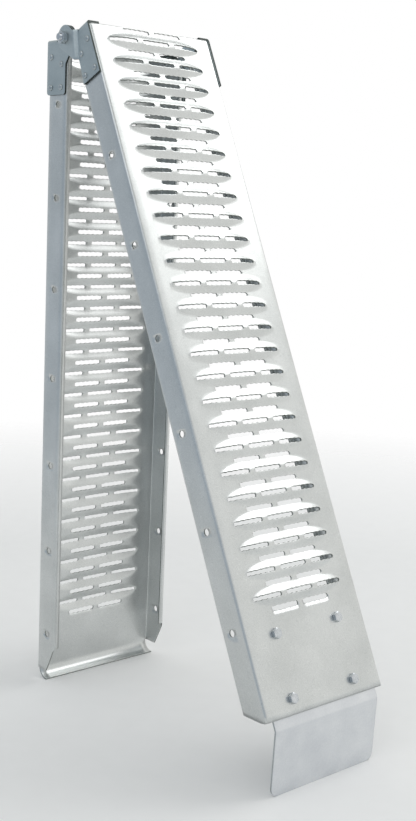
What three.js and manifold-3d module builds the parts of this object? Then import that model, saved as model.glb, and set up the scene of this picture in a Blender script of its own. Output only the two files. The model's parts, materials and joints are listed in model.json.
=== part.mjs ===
// A folding loading ramp of pressed, galvanised steel, standing half open as an inverted V.
//
// Each half is one sheet folded to a channel: a treaded deck, two side flanges and a return
// lip along each free edge. Both halves are drawn in the same half frame, whose origin is
// the hinge axis: +X across the ramp, +Y from the deck towards the underside, and -Z away
// from the hinge. A place on a half is therefore given as (across, along, depth), with
// `along` measured from the hinge axis and `depth` from the face of the deck.
import * as THREE from "three";
import { mergeVertices } from "three/addons/utils/BufferGeometryUtils.js";
import Module from "manifold-3d";

const wasm = await Module();
wasm.setup();

// ---- Driving dimensions, in millimetres and degrees ----
const WIDTH = 225;
const SHEET = 2;
const CHANNEL_DEPTH = 45;
const LIP = 10;
const BEND_RADIUS = 4;
const GAP = 0.3;

const HALF_START = 3.5;
const UPPER_END = 1010;
const LOWER_END = 983;
const FOOT_RADIUS = 18;
const FOOT_LIP = 2;

const HINGE_DEPTH = 51.5;
// Leans from upright at which the tongue's tip and the foot both touch the floor.
const UPPER_LEAN = 25.067;
const LOWER_LEAN = 0.5;

const OVAL_PITCH = 34.45;
const OVAL_COUNT = 26;
const UPPER_FIRST_OVAL = -9.1;
const LOWER_FIRST_OVAL = 23.4;
const TREAD_WIDTH = 171;
const TREAD_RISE = 5;
const TREAD_FLAT = 9;
const OVAL_TIP = 18;
const SLOT_LENGTH = 49;
const SLOT_WIDTH = 6.5;
const SLOT_PITCH = 58.7;

const SIDE_HOLE_RADIUS = 5;
const SIDE_HOLE_DEPTH = 24.5;
const SIDE_HOLE_COUNT = 7;
const SIDE_HOLE_PITCH = 4 * OVAL_PITCH;
const UPPER_FIRST_HOLE = 61;
const LOWER_FIRST_HOLE = 93.5;

const PLATE = 3;
const BRACKET_START = 0.2;
const BRACKET_LENGTH = 80;
const TAB_REACH = 18;
const TAB_DEPTH = 24;
const EAR_RADIUS = 18;
const EAR_SHOULDER = 30;
const EAR_FOOT = [36, CHANNEL_DEPTH + SHEET];
const LOWER_BRACKET_CORNER = 5;
const JOGGLE_STEP = 5.1;
const JOGGLE_RUN = 5;
const JOGGLE_FROM = [1, 25.5];
const JOGGLE_TO = [41.5, 38];
const UPPER_RIVETS = [[25, 9], [37.5, 30.5], [70, 9], [70, 34]];
const LOWER_RIVETS = [[25, 10], [36, 36], [69, 10], [69, 36]];

const RIVET_SHANK = 3;
const RIVET_HEAD = 4.5;
const RIVET_HEAD_HEIGHT = 2.6;
const RIVET_TAIL = 4;
const RIVET_TAIL_HEIGHT = 1.8;
const RIVET_SIDES = 10;

const PIVOT = { radius: 5, flats: 16, head: 6.4, nut: 8, tail: 3.5, washer: 10, washerThick: 1.5 };
const M8 = { radius: 4, flats: 13, head: 5.3, nut: 6.5, tail: 2.5, washer: 8, washerThick: 1.6 };
const SHANK_SIDES = 14;

const TONGUE_WIDTH = 198;
const TONGUE_START = 880;
const TONGUE_BEND = 1024;
const TONGUE_REACH = 93;
const TONGUE_ANGLE = 27.5;
const TONGUE_CORNER = 12;
const TONGUE_BOLT_ACROSS = 59;
const TONGUE_BOLT_ROWS = [902, 989];

// ---- Finishes ----
const finish = (color, roughness) => ({ color, roughness, metalness: 0.9 });
const GALVANISED = finish(0xc9ced1, 0.38);
const ZINC_PLATE = finish(0xb4bdbf, 0.42);
const BRIGHT_ZINC = finish(0xd4d8da, 0.3);

// ---- Solids: joins and cuts ----
function solid(geometry) {
  const bare = new THREE.BufferGeometry();
  bare.setAttribute("position", geometry.getAttribute("position"));
  bare.setIndex(geometry.getIndex());
  const merged = mergeVertices(bare, 1e-4);
  return new wasm.Manifold(new wasm.Mesh({
    numProp: 3,
    vertProperties: new Float32Array(merged.getAttribute("position").array),
    triVerts: new Uint32Array(merged.getIndex().array),
  }));
}

function geometryOf(body) {
  const mesh = body.getMesh();
  const geometry = new THREE.BufferGeometry();
  geometry.setAttribute("position", new THREE.BufferAttribute(mesh.vertProperties, 3));
  geometry.setIndex(new THREE.BufferAttribute(mesh.triVerts, 1));
  return geometry;
}

const join = (bodies) => bodies.reduce((whole, body) => whole.add(body));
const cut = (body, tools) => tools.reduce((left, tool) => left.subtract(tool), body);

// ---- Building blocks in the half frame ----
const toY = (depth) => depth - HINGE_DEPTH;

// A closed outline of [along, depth] points, or a THREE.Shape of them, carried across the ramp.
const SIDE_TO_HALF = new THREE.Matrix4().set(
  0, 0, 1, 0,
  0, 1, 0, -HINGE_DEPTH,
  -1, 0, 0, 0,
  0, 0, 0, 1,
);

function sideShape(points) {
  return new THREE.Shape(points.map(([along, depth]) => new THREE.Vector2(along, depth)));
}

function sidePrism(shape, from, to, curveSegments = 6) {
  const prism = new THREE.ExtrudeGeometry(shape, { depth: to - from, bevelEnabled: false, curveSegments });
  prism.translate(0, 0, from);
  return solid(prism.applyMatrix4(SIDE_TO_HALF));
}

function block(across, along, depth) {
  const size = [across, along, depth].map(([low, high]) => high - low);
  const middle = [across, along, depth].map(([low, high]) => (low + high) / 2);
  const box = new THREE.BoxGeometry(size[0], size[2], size[1]);
  return solid(box.translate(middle[0], toY(middle[2]), -middle[1]));
}

// A round or six-sided bar along X, for holes, shanks, heads, nuts and washers.
function barAcross(radius, from, to, along, depth, sides) {
  const bar = new THREE.CylinderGeometry(radius, radius, to - from, sides);
  bar.rotateZ(Math.PI / 2);
  return solid(bar.translate((from + to) / 2, toY(depth), -along));
}

function barDeep(radius, from, to, across, along, sides) {
  const bar = new THREE.CylinderGeometry(radius, radius, to - from, sides);
  return solid(bar.translate(across, toY((from + to) / 2), -along));
}

const hexRadius = (flats) => flats / Math.sqrt(3);

function mirrored(body) {
  const flipped = geometryOf(body).scale(-1, 1, 1);
  const index = flipped.getIndex();
  for (let i = 0; i < index.count; i += 3) {
    const first = index.getX(i);
    index.setX(i, index.getX(i + 1));
    index.setX(i + 1, first);
  }
  return solid(flipped);
}

// ---- The pressed channel ----
function channel(from, to) {
  const half = WIDTH / 2;
  const inner = BEND_RADIUS - SHEET;
  const quarter = Math.PI / 2;
  const top = BEND_RADIUS;
  const low = CHANNEL_DEPTH - BEND_RADIUS;
  const shape = new THREE.Shape();
  shape.moveTo(LIP - half, CHANNEL_DEPTH - SHEET);
  shape.lineTo(LIP - half, CHANNEL_DEPTH);
  shape.absarc(BEND_RADIUS - half, low, BEND_RADIUS, quarter, 2 * quarter, false);
  shape.absarc(BEND_RADIUS - half, top, BEND_RADIUS, 2 * quarter, 3 * quarter, false);
  shape.absarc(half - BEND_RADIUS, top, BEND_RADIUS, -quarter, 0, false);
  shape.absarc(half - BEND_RADIUS, low, BEND_RADIUS, 0, quarter, false);
  shape.lineTo(half - LIP, CHANNEL_DEPTH);
  shape.lineTo(half - LIP, CHANNEL_DEPTH - SHEET);
  shape.absarc(half - BEND_RADIUS, low, inner, quarter, 0, true);
  shape.absarc(half - BEND_RADIUS, top, inner, 0, -quarter, true);
  shape.absarc(BEND_RADIUS - half, top, inner, 3 * quarter, 2 * quarter, true);
  shape.absarc(BEND_RADIUS - half, low, inner, 2 * quarter, quarter, true);
  const bar = new THREE.ExtrudeGeometry(shape, { depth: to - from, bevelEnabled: false, curveSegments: 3 });
  return solid(bar.translate(0, -HINGE_DEPTH, -to));
}

// ---- The tread: ovals that rise to a slotted ridge, with slotted valleys between ----
const ovalCentre = (first, index) => first + index * OVAL_PITCH;

// Lines along the ramp where the sheet bends, each with the rise of the sheet there.
function treadLines(first, from, to) {
  const flat = TREAD_FLAT / 2;
  const lines = [];
  for (let i = 0; i < OVAL_COUNT; i += 1) {
    const centre = ovalCentre(first, i);
    const valley = centre + OVAL_PITCH / 2;
    if (i === 0 || centre - OVAL_PITCH / 2 > from) lines.push([centre - OVAL_PITCH / 2 + flat, 0]);
    lines.push([centre - flat, TREAD_RISE], [centre + flat, TREAD_RISE]);
    lines.push([valley - flat, 0]);
  }
  const inside = lines.filter(([along]) => along > from && along < to);
  return [[from, 0], ...inside, [to, 0]];
}

// The sheet as a grid: across in steps that slope up at the ovals' tips, along in bend lines.
function treadSheet(lines) {
  const half = TREAD_WIDTH / 2;
  const edge = half + GAP;
  const columns = [[-edge, 0], [-half, 0], [OVAL_TIP - half, 1], [half - OVAL_TIP, 1], [half, 0], [edge, 0]];
  const points = [];
  for (const thick of [0, SHEET]) {
    for (const [along, rise] of lines) {
      for (const [across, share] of columns) points.push(across, toY(thick - rise * share), -along);
    }
  }
  const wide = columns.length;
  const layer = wide * lines.length;
  const index = [];
  const quad = (a, b, c, d) => index.push(a, b, c, a, c, d);
  for (let r = 0; r + 1 < lines.length; r += 1) {
    for (let c = 0; c + 1 < wide; c += 1) {
      const at = r * wide + c;
      quad(at, at + wide, at + wide + 1, at + 1);
      quad(layer + at, layer + at + 1, layer + at + wide + 1, layer + at + wide);
    }
  }
  for (let c = 0; c + 1 < wide; c += 1) {
    const last = layer - wide + c;
    quad(c, c + 1, layer + c + 1, layer + c);
    quad(last, layer + last, layer + last + 1, last + 1);
  }
  for (let r = 0; r + 1 < lines.length; r += 1) {
    const left = r * wide;
    const right = left + wide - 1;
    quad(left, layer + left, layer + left + wide, left + wide);
    quad(right, right + wide, layer + right + wide, layer + right);
  }
  const geometry = new THREE.BufferGeometry();
  geometry.setAttribute("position", new THREE.Float32BufferAttribute(points, 3));
  geometry.setIndex(index);
  return solid(geometry);
}

// Three slots along each ridge and two, half a pitch over, along each valley.
function treadSlots(first, from) {
  const slots = [];
  const row = (along, places) => {
    if (along - SLOT_WIDTH / 2 < from) return;
    for (const place of places) {
      const across = [place * SLOT_PITCH - SLOT_LENGTH / 2, place * SLOT_PITCH + SLOT_LENGTH / 2];
      const reach = [along - SLOT_WIDTH / 2, along + SLOT_WIDTH / 2];
      slots.push(block(across, reach, [-2 * TREAD_RISE, 2 * SHEET]));
    }
  };
  row(ovalCentre(first, 0) - OVAL_PITCH / 2, [-0.5, 0.5]);
  for (let i = 0; i < OVAL_COUNT; i += 1) {
    row(ovalCentre(first, i), [-1, 0, 1]);
    row(ovalCentre(first, i) + OVAL_PITCH / 2, [-0.5, 0.5]);
  }
  return slots;
}

function treadedChannel(firstOval, end, firstHole, rivets) {
  const lastValley = ovalCentre(firstOval, OVAL_COUNT - 1) + OVAL_PITCH / 2;
  const treadEnd = lastValley + TREAD_FLAT;
  const half = TREAD_WIDTH / 2;
  const window = block([-half, half], [0, treadEnd - GAP], [-1, SHEET + 1]);
  const sheet = treadSheet(treadLines(firstOval, HALF_START, treadEnd));
  const body = cut(channel(HALF_START, end), [window]).add(sheet);
  const sides = [];
  for (let i = 0; i < SIDE_HOLE_COUNT; i += 1) {
    const along = firstHole + i * SIDE_HOLE_PITCH;
    sides.push(barAcross(SIDE_HOLE_RADIUS, -WIDTH, WIDTH, along, SIDE_HOLE_DEPTH, 12));
  }
  for (const [along, depth] of rivets) {
    sides.push(barAcross(RIVET_SHANK + GAP, -WIDTH, WIDTH, along, depth, RIVET_SIDES));
  }
  const clearance = sideShape([[-1, 24], [26, 51], [-1, 51]]);
  sides.push(sidePrism(clearance, -WIDTH, WIDTH));
  return cut(body, [...treadSlots(firstOval, HALF_START), ...sides]);
}

function upperSection() {
  const body = treadedChannel(UPPER_FIRST_OVAL, UPPER_END, UPPER_FIRST_HOLE, UPPER_RIVETS);
  const slant = sideShape([[UPPER_END, 8], [UPPER_END + 1, 8], [UPPER_END + 1, 50], [UPPER_END - 19, 50]]);
  const tools = [sidePrism(slant, -WIDTH, WIDTH)];
  for (const along of TONGUE_BOLT_ROWS) {
    for (const side of [-1, 1]) {
      tools.push(barDeep(M8.radius + GAP, -1, SHEET + 1, side * TONGUE_BOLT_ACROSS, along, SHANK_SIDES));
    }
  }
  return cut(body, tools);
}

function lowerSection() {
  const body = treadedChannel(LOWER_FIRST_OVAL, LOWER_END, LOWER_FIRST_HOLE, LOWER_RIVETS);
  const chamfer = sideShape([
    [LOWER_END - 45, 46], [LOWER_END - 1, 25], [LOWER_END + 1, 25], [LOWER_END + 1, 50], [LOWER_END - 45, 50],
  ]);
  const start = LOWER_END - 1;
  const foot = new THREE.Shape();
  foot.moveTo(start - 1, SHEET);
  foot.lineTo(start - 1, 0);
  foot.absarc(start, FOOT_RADIUS, FOOT_RADIUS, -Math.PI / 2, 0, false);
  foot.lineTo(start + FOOT_RADIUS, FOOT_RADIUS + FOOT_LIP);
  foot.lineTo(start + FOOT_RADIUS - SHEET, FOOT_RADIUS + FOOT_LIP);
  foot.absarc(start, FOOT_RADIUS, FOOT_RADIUS - SHEET, 0, -Math.PI / 2, true);
  const reach = WIDTH / 2 - BEND_RADIUS;
  return cut(body, [sidePrism(chamfer, -WIDTH, WIDTH)]).add(sidePrism(foot, -reach, reach, 8));
}

// ---- Hinge brackets, drawn for the +X side and mirrored for the other ----
const OUTER = WIDTH / 2 + GAP;

// The point where a line from `point` touches the ear's circle, on the side that `turn` picks.
function earTangent([along, depth], turn) {
  const towards = Math.atan2(depth - HINGE_DEPTH, along);
  const reach = Math.hypot(along, depth - HINGE_DEPTH);
  return towards + turn * Math.acos(EAR_RADIUS / reach);
}

function earShape(top, bottom) {
  const shape = new THREE.Shape();
  shape.moveTo(...bottom);
  shape.lineTo(...top);
  shape.absarc(0, HINGE_DEPTH, EAR_RADIUS, earTangent(top, -1), earTangent(bottom, 1), true);
  return shape;
}

function endTab() {
  const reach = [WIDTH / 2 - TAB_REACH, OUTER + PLATE];
  return block(reach, [BRACKET_START, HALF_START - GAP], [0, TAB_DEPTH]);
}

function rivetHoles(rivets) {
  return rivets.map(([along, depth]) => (
    barAcross(RIVET_SHANK + GAP, OUTER - 1, OUTER + PLATE + 1, along, depth, RIVET_SIDES)));
}

function pivotHole() {
  const reach = OUTER + PLATE + JOGGLE_STEP + 1;
  return barAcross(PIVOT.radius + GAP, OUTER - 1, reach, 0, HINGE_DEPTH, SHANK_SIDES);
}

function lowerBracket() {
  const corner = LOWER_BRACKET_CORNER;
  const end = BRACKET_LENGTH;
  const deep = CHANNEL_DEPTH + SHEET;
  const shoulder = [BRACKET_START, EAR_SHOULDER];
  const shape = new THREE.Shape();
  shape.moveTo(...shoulder);
  shape.lineTo(BRACKET_START, 0);
  shape.absarc(end - corner, corner, corner, -Math.PI / 2, 0, false);
  shape.absarc(end - corner, deep - corner, corner, 0, Math.PI / 2, false);
  shape.lineTo(...EAR_FOOT);
  shape.absarc(0, HINGE_DEPTH, EAR_RADIUS, earTangent(EAR_FOOT, 1), earTangent(shoulder, -1), false);
  const plate = sidePrism(shape, OUTER, OUTER + PLATE, 6);
  return cut(plate.add(endTab()), [...rivetHoles(LOWER_RIVETS), pivotHole()]);
}

// The upper bracket's ear steps outward along a slanting bend, to lap over the lower ear.
function upperBracket() {
  const [fromAlong, fromDepth] = JOGGLE_FROM;
  const [toAlong, toDepth] = JOGGLE_TO;
  const run = new THREE.Vector2(toAlong - fromAlong, toDepth - fromDepth);
  const length = run.length();
  const line = run.clone().normalize();
  const rise = new THREE.Vector2(-line.y, line.x);
  const plate = sideShape([
    [BRACKET_START, 0], [BRACKET_LENGTH, 0], [BRACKET_LENGTH, CHANNEL_DEPTH - PLATE],
    [toAlong, toDepth], [fromAlong, fromDepth], [BRACKET_START, fromDepth],
  ]);
  const step = new THREE.Shape([
    new THREE.Vector2(-GAP, OUTER),
    new THREE.Vector2(JOGGLE_RUN, OUTER + JOGGLE_STEP),
    new THREE.Vector2(JOGGLE_RUN, OUTER + JOGGLE_STEP + PLATE),
    new THREE.Vector2(-GAP, OUTER + PLATE),
  ]);
  const ramp = new THREE.ExtrudeGeometry(step, { depth: length, bevelEnabled: false });
  ramp.applyMatrix4(new THREE.Matrix4().set(
    0, 1, 0, 0,
    rise.y, 0, line.y, toY(fromDepth),
    -rise.x, 0, -line.x, -fromAlong,
    0, 0, 0, 1,
  ));
  const shifted = ([along, depth]) => {
    const inset = JOGGLE_RUN - GAP;
    return [along + rise.x * inset, depth + rise.y * inset];
  };
  const ear = earShape(shifted(JOGGLE_FROM), shifted(JOGGLE_TO));
  const earOut = OUTER + JOGGLE_STEP;
  const body = join([
    sidePrism(plate, OUTER, OUTER + PLATE), solid(ramp), sidePrism(ear, earOut, earOut + PLATE, 8), endTab(),
  ]);
  return cut(body, [...rivetHoles(UPPER_RIVETS), pivotHole()]);
}

// ---- Fasteners ----
// A turned profile of [radius, across] points about the X axis, at a place on the half.
function turnedAcross(profile, along, depth, sides) {
  const lathe = new THREE.LatheGeometry(profile.map(([r, x]) => new THREE.Vector2(r, x)), sides);
  lathe.rotateZ(-Math.PI / 2);
  return solid(lathe.translate(0, toY(depth), -along));
}

function rivet([along, depth]) {
  const face = OUTER + PLATE + GAP;
  const back = WIDTH / 2 - SHEET - GAP;
  return turnedAcross([
    [0, back - RIVET_TAIL_HEIGHT], [RIVET_TAIL * 0.8, back - RIVET_TAIL_HEIGHT], [RIVET_TAIL, back],
    [RIVET_SHANK, back], [RIVET_SHANK, face], [RIVET_HEAD, face],
    [RIVET_HEAD * 0.75, face + RIVET_HEAD_HEIGHT * 0.7], [0, face + RIVET_HEAD_HEIGHT],
  ], along, depth, RIVET_SIDES);
}

// From the hinge bolt's head inside the channel, out through both ears to its nut.
const EAR_OUT = OUTER + JOGGLE_STEP + PLATE;

function pivotBolt() {
  const seat = OUTER - GAP;
  const tip = EAR_OUT + GAP + PIVOT.nut + PIVOT.tail;
  return join([
    barAcross(hexRadius(PIVOT.flats), seat - PIVOT.head, seat, 0, HINGE_DEPTH, 6),
    barAcross(PIVOT.radius, seat - GAP, tip, 0, HINGE_DEPTH, SHANK_SIDES),
  ]);
}

function pivotNut() {
  const from = EAR_OUT + GAP;
  const nut = barAcross(hexRadius(PIVOT.flats), from, from + PIVOT.nut, 0, HINGE_DEPTH, 6);
  const bore = barAcross(PIVOT.radius + GAP, from - 1, from + PIVOT.nut + 1, 0, HINGE_DEPTH, SHANK_SIDES);
  return nut.subtract(bore);
}

function pivotWasher() {
  const middle = OUTER + (JOGGLE_STEP + PLATE) / 2;
  const from = middle - PIVOT.washerThick / 2;
  const to = middle + PIVOT.washerThick / 2;
  const disc = barAcross(PIVOT.washer, from, to, 0, HINGE_DEPTH, 2 * SHANK_SIDES);
  return disc.subtract(barAcross(PIVOT.radius + GAP, from - 1, to + 1, 0, HINGE_DEPTH, SHANK_SIDES));
}

const TONGUE_TOP = SHEET + GAP;
const TONGUE_BACK = TONGUE_TOP + PLATE;
const NUT_SEAT = TONGUE_BACK + GAP + M8.washerThick + GAP;

function tongueBolt(across, along) {
  return join([
    barDeep(hexRadius(M8.flats), -GAP - M8.head, -GAP, across, along, 6),
    barDeep(M8.radius, -2 * GAP, NUT_SEAT + M8.nut + M8.tail, across, along, SHANK_SIDES),
  ]);
}

function tongueNut(across, along) {
  const nut = barDeep(hexRadius(M8.flats), NUT_SEAT, NUT_SEAT + M8.nut, across, along, 6);
  return nut.subtract(barDeep(M8.radius + GAP, NUT_SEAT - 1, NUT_SEAT + M8.nut + 1, across, along, SHANK_SIDES));
}

function tongueWasher(across, along) {
  const from = TONGUE_BACK + GAP;
  const to = from + M8.washerThick;
  const disc = barDeep(M8.washer, from, to, across, along, 2 * SHANK_SIDES);
  return disc.subtract(barDeep(M8.radius + GAP, from - 1, to + 1, across, along, SHANK_SIDES));
}

// ---- The tongue: a flat plate under the deck's end, bent down to hook over a tailgate ----
function tonguePlate() {
  const angle = THREE.MathUtils.degToRad(TONGUE_ANGLE);
  const point = (along, depth) => [
    TONGUE_BEND + along * Math.cos(angle) - depth * Math.sin(angle),
    TONGUE_TOP + along * Math.sin(angle) + depth * Math.cos(angle),
  ];
  const inside = PLATE * Math.tan(angle / 2);
  const profile = sideShape([
    [TONGUE_START, TONGUE_TOP], [TONGUE_BEND, TONGUE_TOP], point(TONGUE_REACH, 0),
    point(TONGUE_REACH, PLATE), [TONGUE_BEND - inside, TONGUE_BACK], [TONGUE_START, TONGUE_BACK],
  ]);
  const half = TONGUE_WIDTH / 2;
  const tools = [-1, 1].map((side) => {
    const corner = new THREE.Shape();
    corner.moveTo(TONGUE_CORNER + 1, TONGUE_CORNER + 1);
    corner.lineTo(0, TONGUE_CORNER + 1);
    corner.lineTo(0, TONGUE_CORNER);
    corner.absarc(0, 0, TONGUE_CORNER, Math.PI / 2, 0, true);
    corner.lineTo(TONGUE_CORNER + 1, 0);
    const round = new THREE.ExtrudeGeometry(corner, { depth: 4 * PLATE, bevelEnabled: false, curveSegments: 5 });
    if (side < 0) round.rotateY(Math.PI).translate(0, 0, 4 * PLATE);
    round.rotateX(-Math.PI / 2).translate(side * (half - TONGUE_CORNER), -2 * PLATE, 0);
    round.translate(0, 0, TONGUE_CORNER - TONGUE_REACH);
    round.rotateX(angle).translate(0, toY(TONGUE_TOP), -TONGUE_BEND);
    return solid(round);
  });
  for (const along of TONGUE_BOLT_ROWS) {
    for (const side of [-1, 1]) {
      const across = side * TONGUE_BOLT_ACROSS;
      tools.push(barDeep(M8.radius + GAP, TONGUE_TOP - 1, TONGUE_BACK + 1, across, along, SHANK_SIDES));
    }
  }
  return cut(sidePrism(profile, -half, half), tools);
}

// ---- Assembly ----
function place(group, name, body, look) {
  const geometry = geometryOf(body);
  geometry.computeVertexNormals();
  const mesh = new THREE.Mesh(geometry, new THREE.MeshStandardMaterial(look));
  mesh.name = name;
  group.add(mesh);
}

// Left and right are those of the standing ramp, seen from the front; the lower half is
// turned round, so its +X side is the left one.
function placePair(group, name, body, look) {
  const [plusX, minusX] = group === upper ? ["right", "left"] : ["left", "right"];
  place(group, `${name}_${plusX}`, body, look);
  place(group, `${name}_${minusX}`, mirrored(body), look);
}

const upper = new THREE.Group();
const lower = new THREE.Group();

place(upper, "upper_section", upperSection(), GALVANISED);
place(lower, "lower_section", lowerSection(), GALVANISED);
place(upper, "tongue_plate", tonguePlate(), BRIGHT_ZINC);

let boltNumber = 0;
for (const along of TONGUE_BOLT_ROWS) {
  for (const side of [-1, 1]) {
    boltNumber += 1;
    const across = side * TONGUE_BOLT_ACROSS;
    place(upper, `tongue_bolt_${boltNumber}`, tongueBolt(across, along), BRIGHT_ZINC);
    place(upper, `tongue_washer_${boltNumber}`, tongueWasher(across, along), BRIGHT_ZINC);
    place(upper, `tongue_nut_${boltNumber}`, tongueNut(across, along), BRIGHT_ZINC);
  }
}

placePair(upper, "upper_bracket", upperBracket(), ZINC_PLATE);
placePair(lower, "lower_bracket", lowerBracket(), ZINC_PLATE);
UPPER_RIVETS.forEach((spot, i) => placePair(upper, `upper_rivet_${i + 1}`, rivet(spot), BRIGHT_ZINC));
LOWER_RIVETS.forEach((spot, i) => placePair(lower, `lower_rivet_${i + 1}`, rivet(spot), BRIGHT_ZINC));
placePair(lower, "pivot_bolt", pivotBolt(), BRIGHT_ZINC);
placePair(lower, "pivot_washer", pivotWasher(), BRIGHT_ZINC);
placePair(lower, "pivot_nut", pivotNut(), BRIGHT_ZINC);

// The lower half is the same way up as the upper one, turned round about the vertical.
upper.rotation.x = THREE.MathUtils.degToRad(-UPPER_LEAN);
lower.rotation.set(THREE.MathUtils.degToRad(LOWER_LEAN), 0, Math.PI);

const ramp = new THREE.Group();
ramp.add(upper, lower);
ramp.updateMatrixWorld(true);
const room = new THREE.Box3().setFromObject(ramp, true);
const middle = room.getCenter(new THREE.Vector3());
ramp.position.set(-middle.x, -middle.y, -room.min.z);

export default ramp;
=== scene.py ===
import json

import bpy
import numpy as np
from mathutils import Matrix, Vector


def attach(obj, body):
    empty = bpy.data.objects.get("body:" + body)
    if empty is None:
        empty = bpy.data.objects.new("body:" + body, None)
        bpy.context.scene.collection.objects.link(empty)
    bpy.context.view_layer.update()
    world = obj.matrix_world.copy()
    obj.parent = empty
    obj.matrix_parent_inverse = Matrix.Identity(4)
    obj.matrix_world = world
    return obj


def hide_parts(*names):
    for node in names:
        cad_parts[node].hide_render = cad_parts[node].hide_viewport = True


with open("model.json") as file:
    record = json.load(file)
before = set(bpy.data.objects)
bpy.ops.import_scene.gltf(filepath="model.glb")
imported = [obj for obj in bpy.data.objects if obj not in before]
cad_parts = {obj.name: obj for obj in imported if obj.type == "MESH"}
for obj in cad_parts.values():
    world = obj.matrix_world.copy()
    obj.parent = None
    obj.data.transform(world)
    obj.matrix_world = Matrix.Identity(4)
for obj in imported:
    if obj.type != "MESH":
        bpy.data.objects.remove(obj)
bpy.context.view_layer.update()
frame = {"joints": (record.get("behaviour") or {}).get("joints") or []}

# ---- Camera: a three-quarter view from the front left, near the height of a seated person's eye.
# It looks along the treaded face of the upper half and into the hollow side of the lower one.
CAMERA_PLACE = Vector((-1.16797, -1.32837, 0.75481))
CAMERA_FORWARD = Vector((0.65234, 0.74098, -0.15937))
CAMERA_UP = Vector((0.07753, 0.14393, 0.98655))
CAMERA_LENS = 53.595

back = -CAMERA_FORWARD.normalized()
right = CAMERA_UP.cross(back).normalized()
facing = Matrix((right, back.cross(right), back)).transposed().to_4x4()
camera_data = bpy.data.cameras.new("camera")
camera_data.lens = CAMERA_LENS
camera_data.sensor_width = 36
camera_data.sensor_fit = "AUTO"
camera = bpy.data.objects.new("camera", camera_data)
camera.matrix_world = Matrix.Translation(CAMERA_PLACE) @ facing
bpy.context.scene.collection.objects.link(camera)
bpy.context.scene.camera = camera

# ---- Studio: a plain pale floor under a soft white room, whose left side is a cooler grey.
# Bare zinc shows what it mirrors, so the room's two sides are what part one face from the next.
FLOOR_REACH = 2.6
FLOOR_FADE = 1.0
ROOM_WARM = "F4F4F2"
ROOM_COOL = "A9B4BF"
CEILING = "C9CBCB"
ROOM_STRENGTH = 1.0


def srgb(text):
    """Linear RGBA of an sRGB hex value: the standard curve, taken on each channel."""
    value = np.array([int(text[i:i + 2], 16) for i in (0, 2, 4)]) / 255
    linear = np.where(value <= 0.04045, value / 12.92, ((value + 0.055) / 1.055) ** 2.4)
    return (*linear.tolist(), 1.0)


def add_node(tree, kind, links=None, **settings):
    """Adds a node: settings are its properties, or by `in_N` an input's value; links feed its inputs."""
    node = tree.nodes.new(kind)
    for key, value in settings.items():
        if key.startswith("in_"):
            node.inputs[int(key[3:])].default_value = value
        else:
            setattr(node, key, value)
    for key, source in (links or {}).items():
        tree.links.new(source, node.inputs[key])
    return node


def new_material(name):
    """A new material, with its node tree and its Principled shader."""
    material = bpy.data.materials.new(name)
    material.use_nodes = True
    tree = material.node_tree
    return material, tree, tree.nodes["Principled BSDF"]


def painted_floor():
    """Matt pale floor paint: rough, with a very faint roller mottle about 40 mm across. It
    thins out to nothing from FLOOR_FADE to the disc's edge, so no horizon shows."""
    material, tree, shader = new_material("matt_floor_paint")
    place = add_node(tree, "ShaderNodeTexCoord").outputs["Object"]
    mottle = add_node(tree, "ShaderNodeTexNoise", {0: place}, in_2=25.0, in_3=2.0)
    ramp = add_node(tree, "ShaderNodeValToRGB", {0: mottle.outputs["Fac"]})
    ramp.color_ramp.elements[0].color = srgb("F3F3F2")
    ramp.color_ramp.elements[1].color = srgb("F7F7F6")
    reach = add_node(tree, "ShaderNodeVectorMath", {0: place}, operation="LENGTH")
    fade = add_node(
        tree, "ShaderNodeMapRange", {0: reach.outputs["Value"]},
        in_1=FLOOR_FADE, in_2=FLOOR_REACH, in_3=1.0, in_4=0.0,
    )
    tree.links.new(ramp.outputs["Color"], shader.inputs["Base Color"])
    tree.links.new(fade.outputs[0], shader.inputs["Alpha"])
    shader.inputs["Roughness"].default_value = 0.8
    return material


around = np.linspace(0, 2 * np.pi, 65)[:-1]
rim = np.stack([FLOOR_REACH * np.cos(around), FLOOR_REACH * np.sin(around), 0 * around], 1)
floor_mesh = bpy.data.meshes.new("studio_floor")
floor_mesh.from_pydata(rim.tolist(), [], [tuple(range(len(rim)))])
floor_mesh.materials.append(painted_floor())
floor = bpy.data.objects.new("studio_floor", floor_mesh)
bpy.context.scene.collection.objects.link(floor)

world = bpy.data.worlds.new("soft_room")
bpy.context.scene.world = world
world.use_nodes = True
room = world.node_tree
toward = add_node(room, "ShaderNodeTexCoord")
axes = add_node(room, "ShaderNodeSeparateXYZ", {0: toward.outputs["Generated"]})
side = add_node(room, "ShaderNodeMapRange", {0: axes.outputs["X"]}, in_1=-0.75, in_2=0.35)
wall = add_node(room, "ShaderNodeMix", {0: side.outputs[0]}, data_type="RGBA")
wall.inputs[6].default_value = srgb(ROOM_COOL)
wall.inputs[7].default_value = srgb(ROOM_WARM)
height = add_node(room, "ShaderNodeMapRange", {0: axes.outputs["Z"]}, in_1=0.35, in_2=0.9)
shade = add_node(room, "ShaderNodeMix", {0: height.outputs[0], 6: wall.outputs[2]}, data_type="RGBA")
shade.inputs[7].default_value = srgb(CEILING)
seen = add_node(room, "ShaderNodeLightPath")
behind = add_node(
    room, "ShaderNodeMix", {0: seen.outputs["Is Camera Ray"], 6: shade.outputs[2]}, data_type="RGBA",
)
behind.inputs[7].default_value = srgb("FFFFFF")
room.links.new(behind.outputs[2], room.nodes["Background"].inputs["Color"])
room.nodes["Background"].inputs["Strength"].default_value = ROOM_STRENGTH


def softbox(name, place, target, size, power):
    """A square soft lamp at a place, turned to face a target."""
    data = bpy.data.lights.new(name, "AREA")
    data.size = size
    data.energy = power
    lamp = bpy.data.objects.new(name, data)
    lamp.location = place
    lamp.rotation_euler = (Vector(target) - Vector(place)).to_track_quat("-Z", "Y").to_euler()
    bpy.context.scene.collection.objects.link(lamp)


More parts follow.
